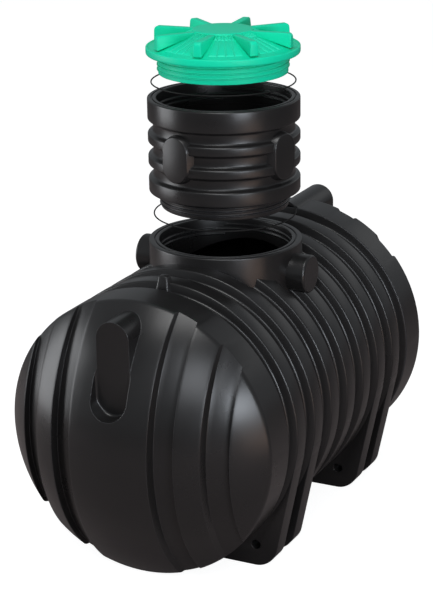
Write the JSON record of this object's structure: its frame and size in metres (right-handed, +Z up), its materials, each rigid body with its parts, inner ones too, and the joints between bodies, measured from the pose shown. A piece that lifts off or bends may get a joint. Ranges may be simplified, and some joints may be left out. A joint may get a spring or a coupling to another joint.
{
  "type": "septic tank",
  "caption": "Ribbed horizontal plastic septic tank on four strap feet, with a threaded neck, a screw-in neck extension, seal rings and a finned screw-on lid.",
  "frame": {"origin": "on the ground under the tank, below the axis of the neck, midway between the ends", "axes": "+Z up, +Y along the tank from the inlet end to the outlet end, +X to the tank's side"},
  "size_m": [1.3528, 2.4494, 2.367],
  "materials": {
    "tank_plastic": "satin black moulded polyethylene",
    "riser_plastic": "satin black moulded polyethylene",
    "lid_plastic": "satin sea-green moulded polyethylene",
    "seal_rubber": "matt black rubber"
  },
  "bodies": {
    "tank": {"barrel": "tank_plastic", "front_end": "tank_plastic", "rear_end": "tank_plastic", "neck": "tank_plastic", "left_stub": "tank_plastic", "right_stub": "tank_plastic", "front_right_foot_1": "tank_plastic", "front_right_foot_2": "tank_plastic", "front_left_foot_1": "tank_plastic", "front_left_foot_2": "tank_plastic", "rear_right_foot_1": "tank_plastic", "rear_right_foot_2": "tank_plastic", "rear_left_foot_1": "tank_plastic", "rear_left_foot_2": "tank_plastic"},
    "lower_seal_ring": {"lower_seal": "seal_rubber"},
    "riser": {"riser_wall": "riser_plastic", "riser_spigot": "riser_plastic", "riser_pad_1": "riser_plastic", "riser_pad_2": "riser_plastic", "riser_pad_3": "riser_plastic", "riser_pad_4": "riser_plastic"},
    "upper_seal_ring": {"upper_seal": "seal_rubber"},
    "lid": {"lid_cap": "lid_plastic", "lid_disc": "lid_plastic", "lid_skirt": "lid_plastic", "lid_fin_1": "lid_plastic", "lid_fin_2": "lid_plastic", "lid_fin_3": "lid_plastic", "lid_fin_4": "lid_plastic", "lid_fin_5": "lid_plastic", "lid_fin_6": "lid_plastic", "lid_fin_7": "lid_plastic", "lid_fin_8": "lid_plastic"}
  },
  "joints": [
    {"name": "riser_lift", "type": "slide", "parent": "tank", "child": "riser", "axis": [0, 0, 1], "range_m": [-0.2437, 0]},
    {"name": "lid_lift", "type": "slide", "parent": "riser", "child": "lid", "axis": [0, 0, 1], "range_m": [-0.2037, 0]},
    {"name": "lower_seal_lift", "type": "slide", "parent": "tank", "child": "lower_seal_ring", "axis": [0, 0, 1], "range_m": [-0.1307, 0]},
    {"name": "upper_seal_lift", "type": "slide", "parent": "riser", "child": "upper_seal_ring", "axis": [0, 0, 1], "range_m": [-0.0757, 0]}
  ],
  "couplings": [
    {"joint": "lower_seal_lift", "follows": "riser_lift", "ratio": 0.5363},
    {"joint": "upper_seal_lift", "follows": "lid_lift", "ratio": 0.3716}
  ]
}
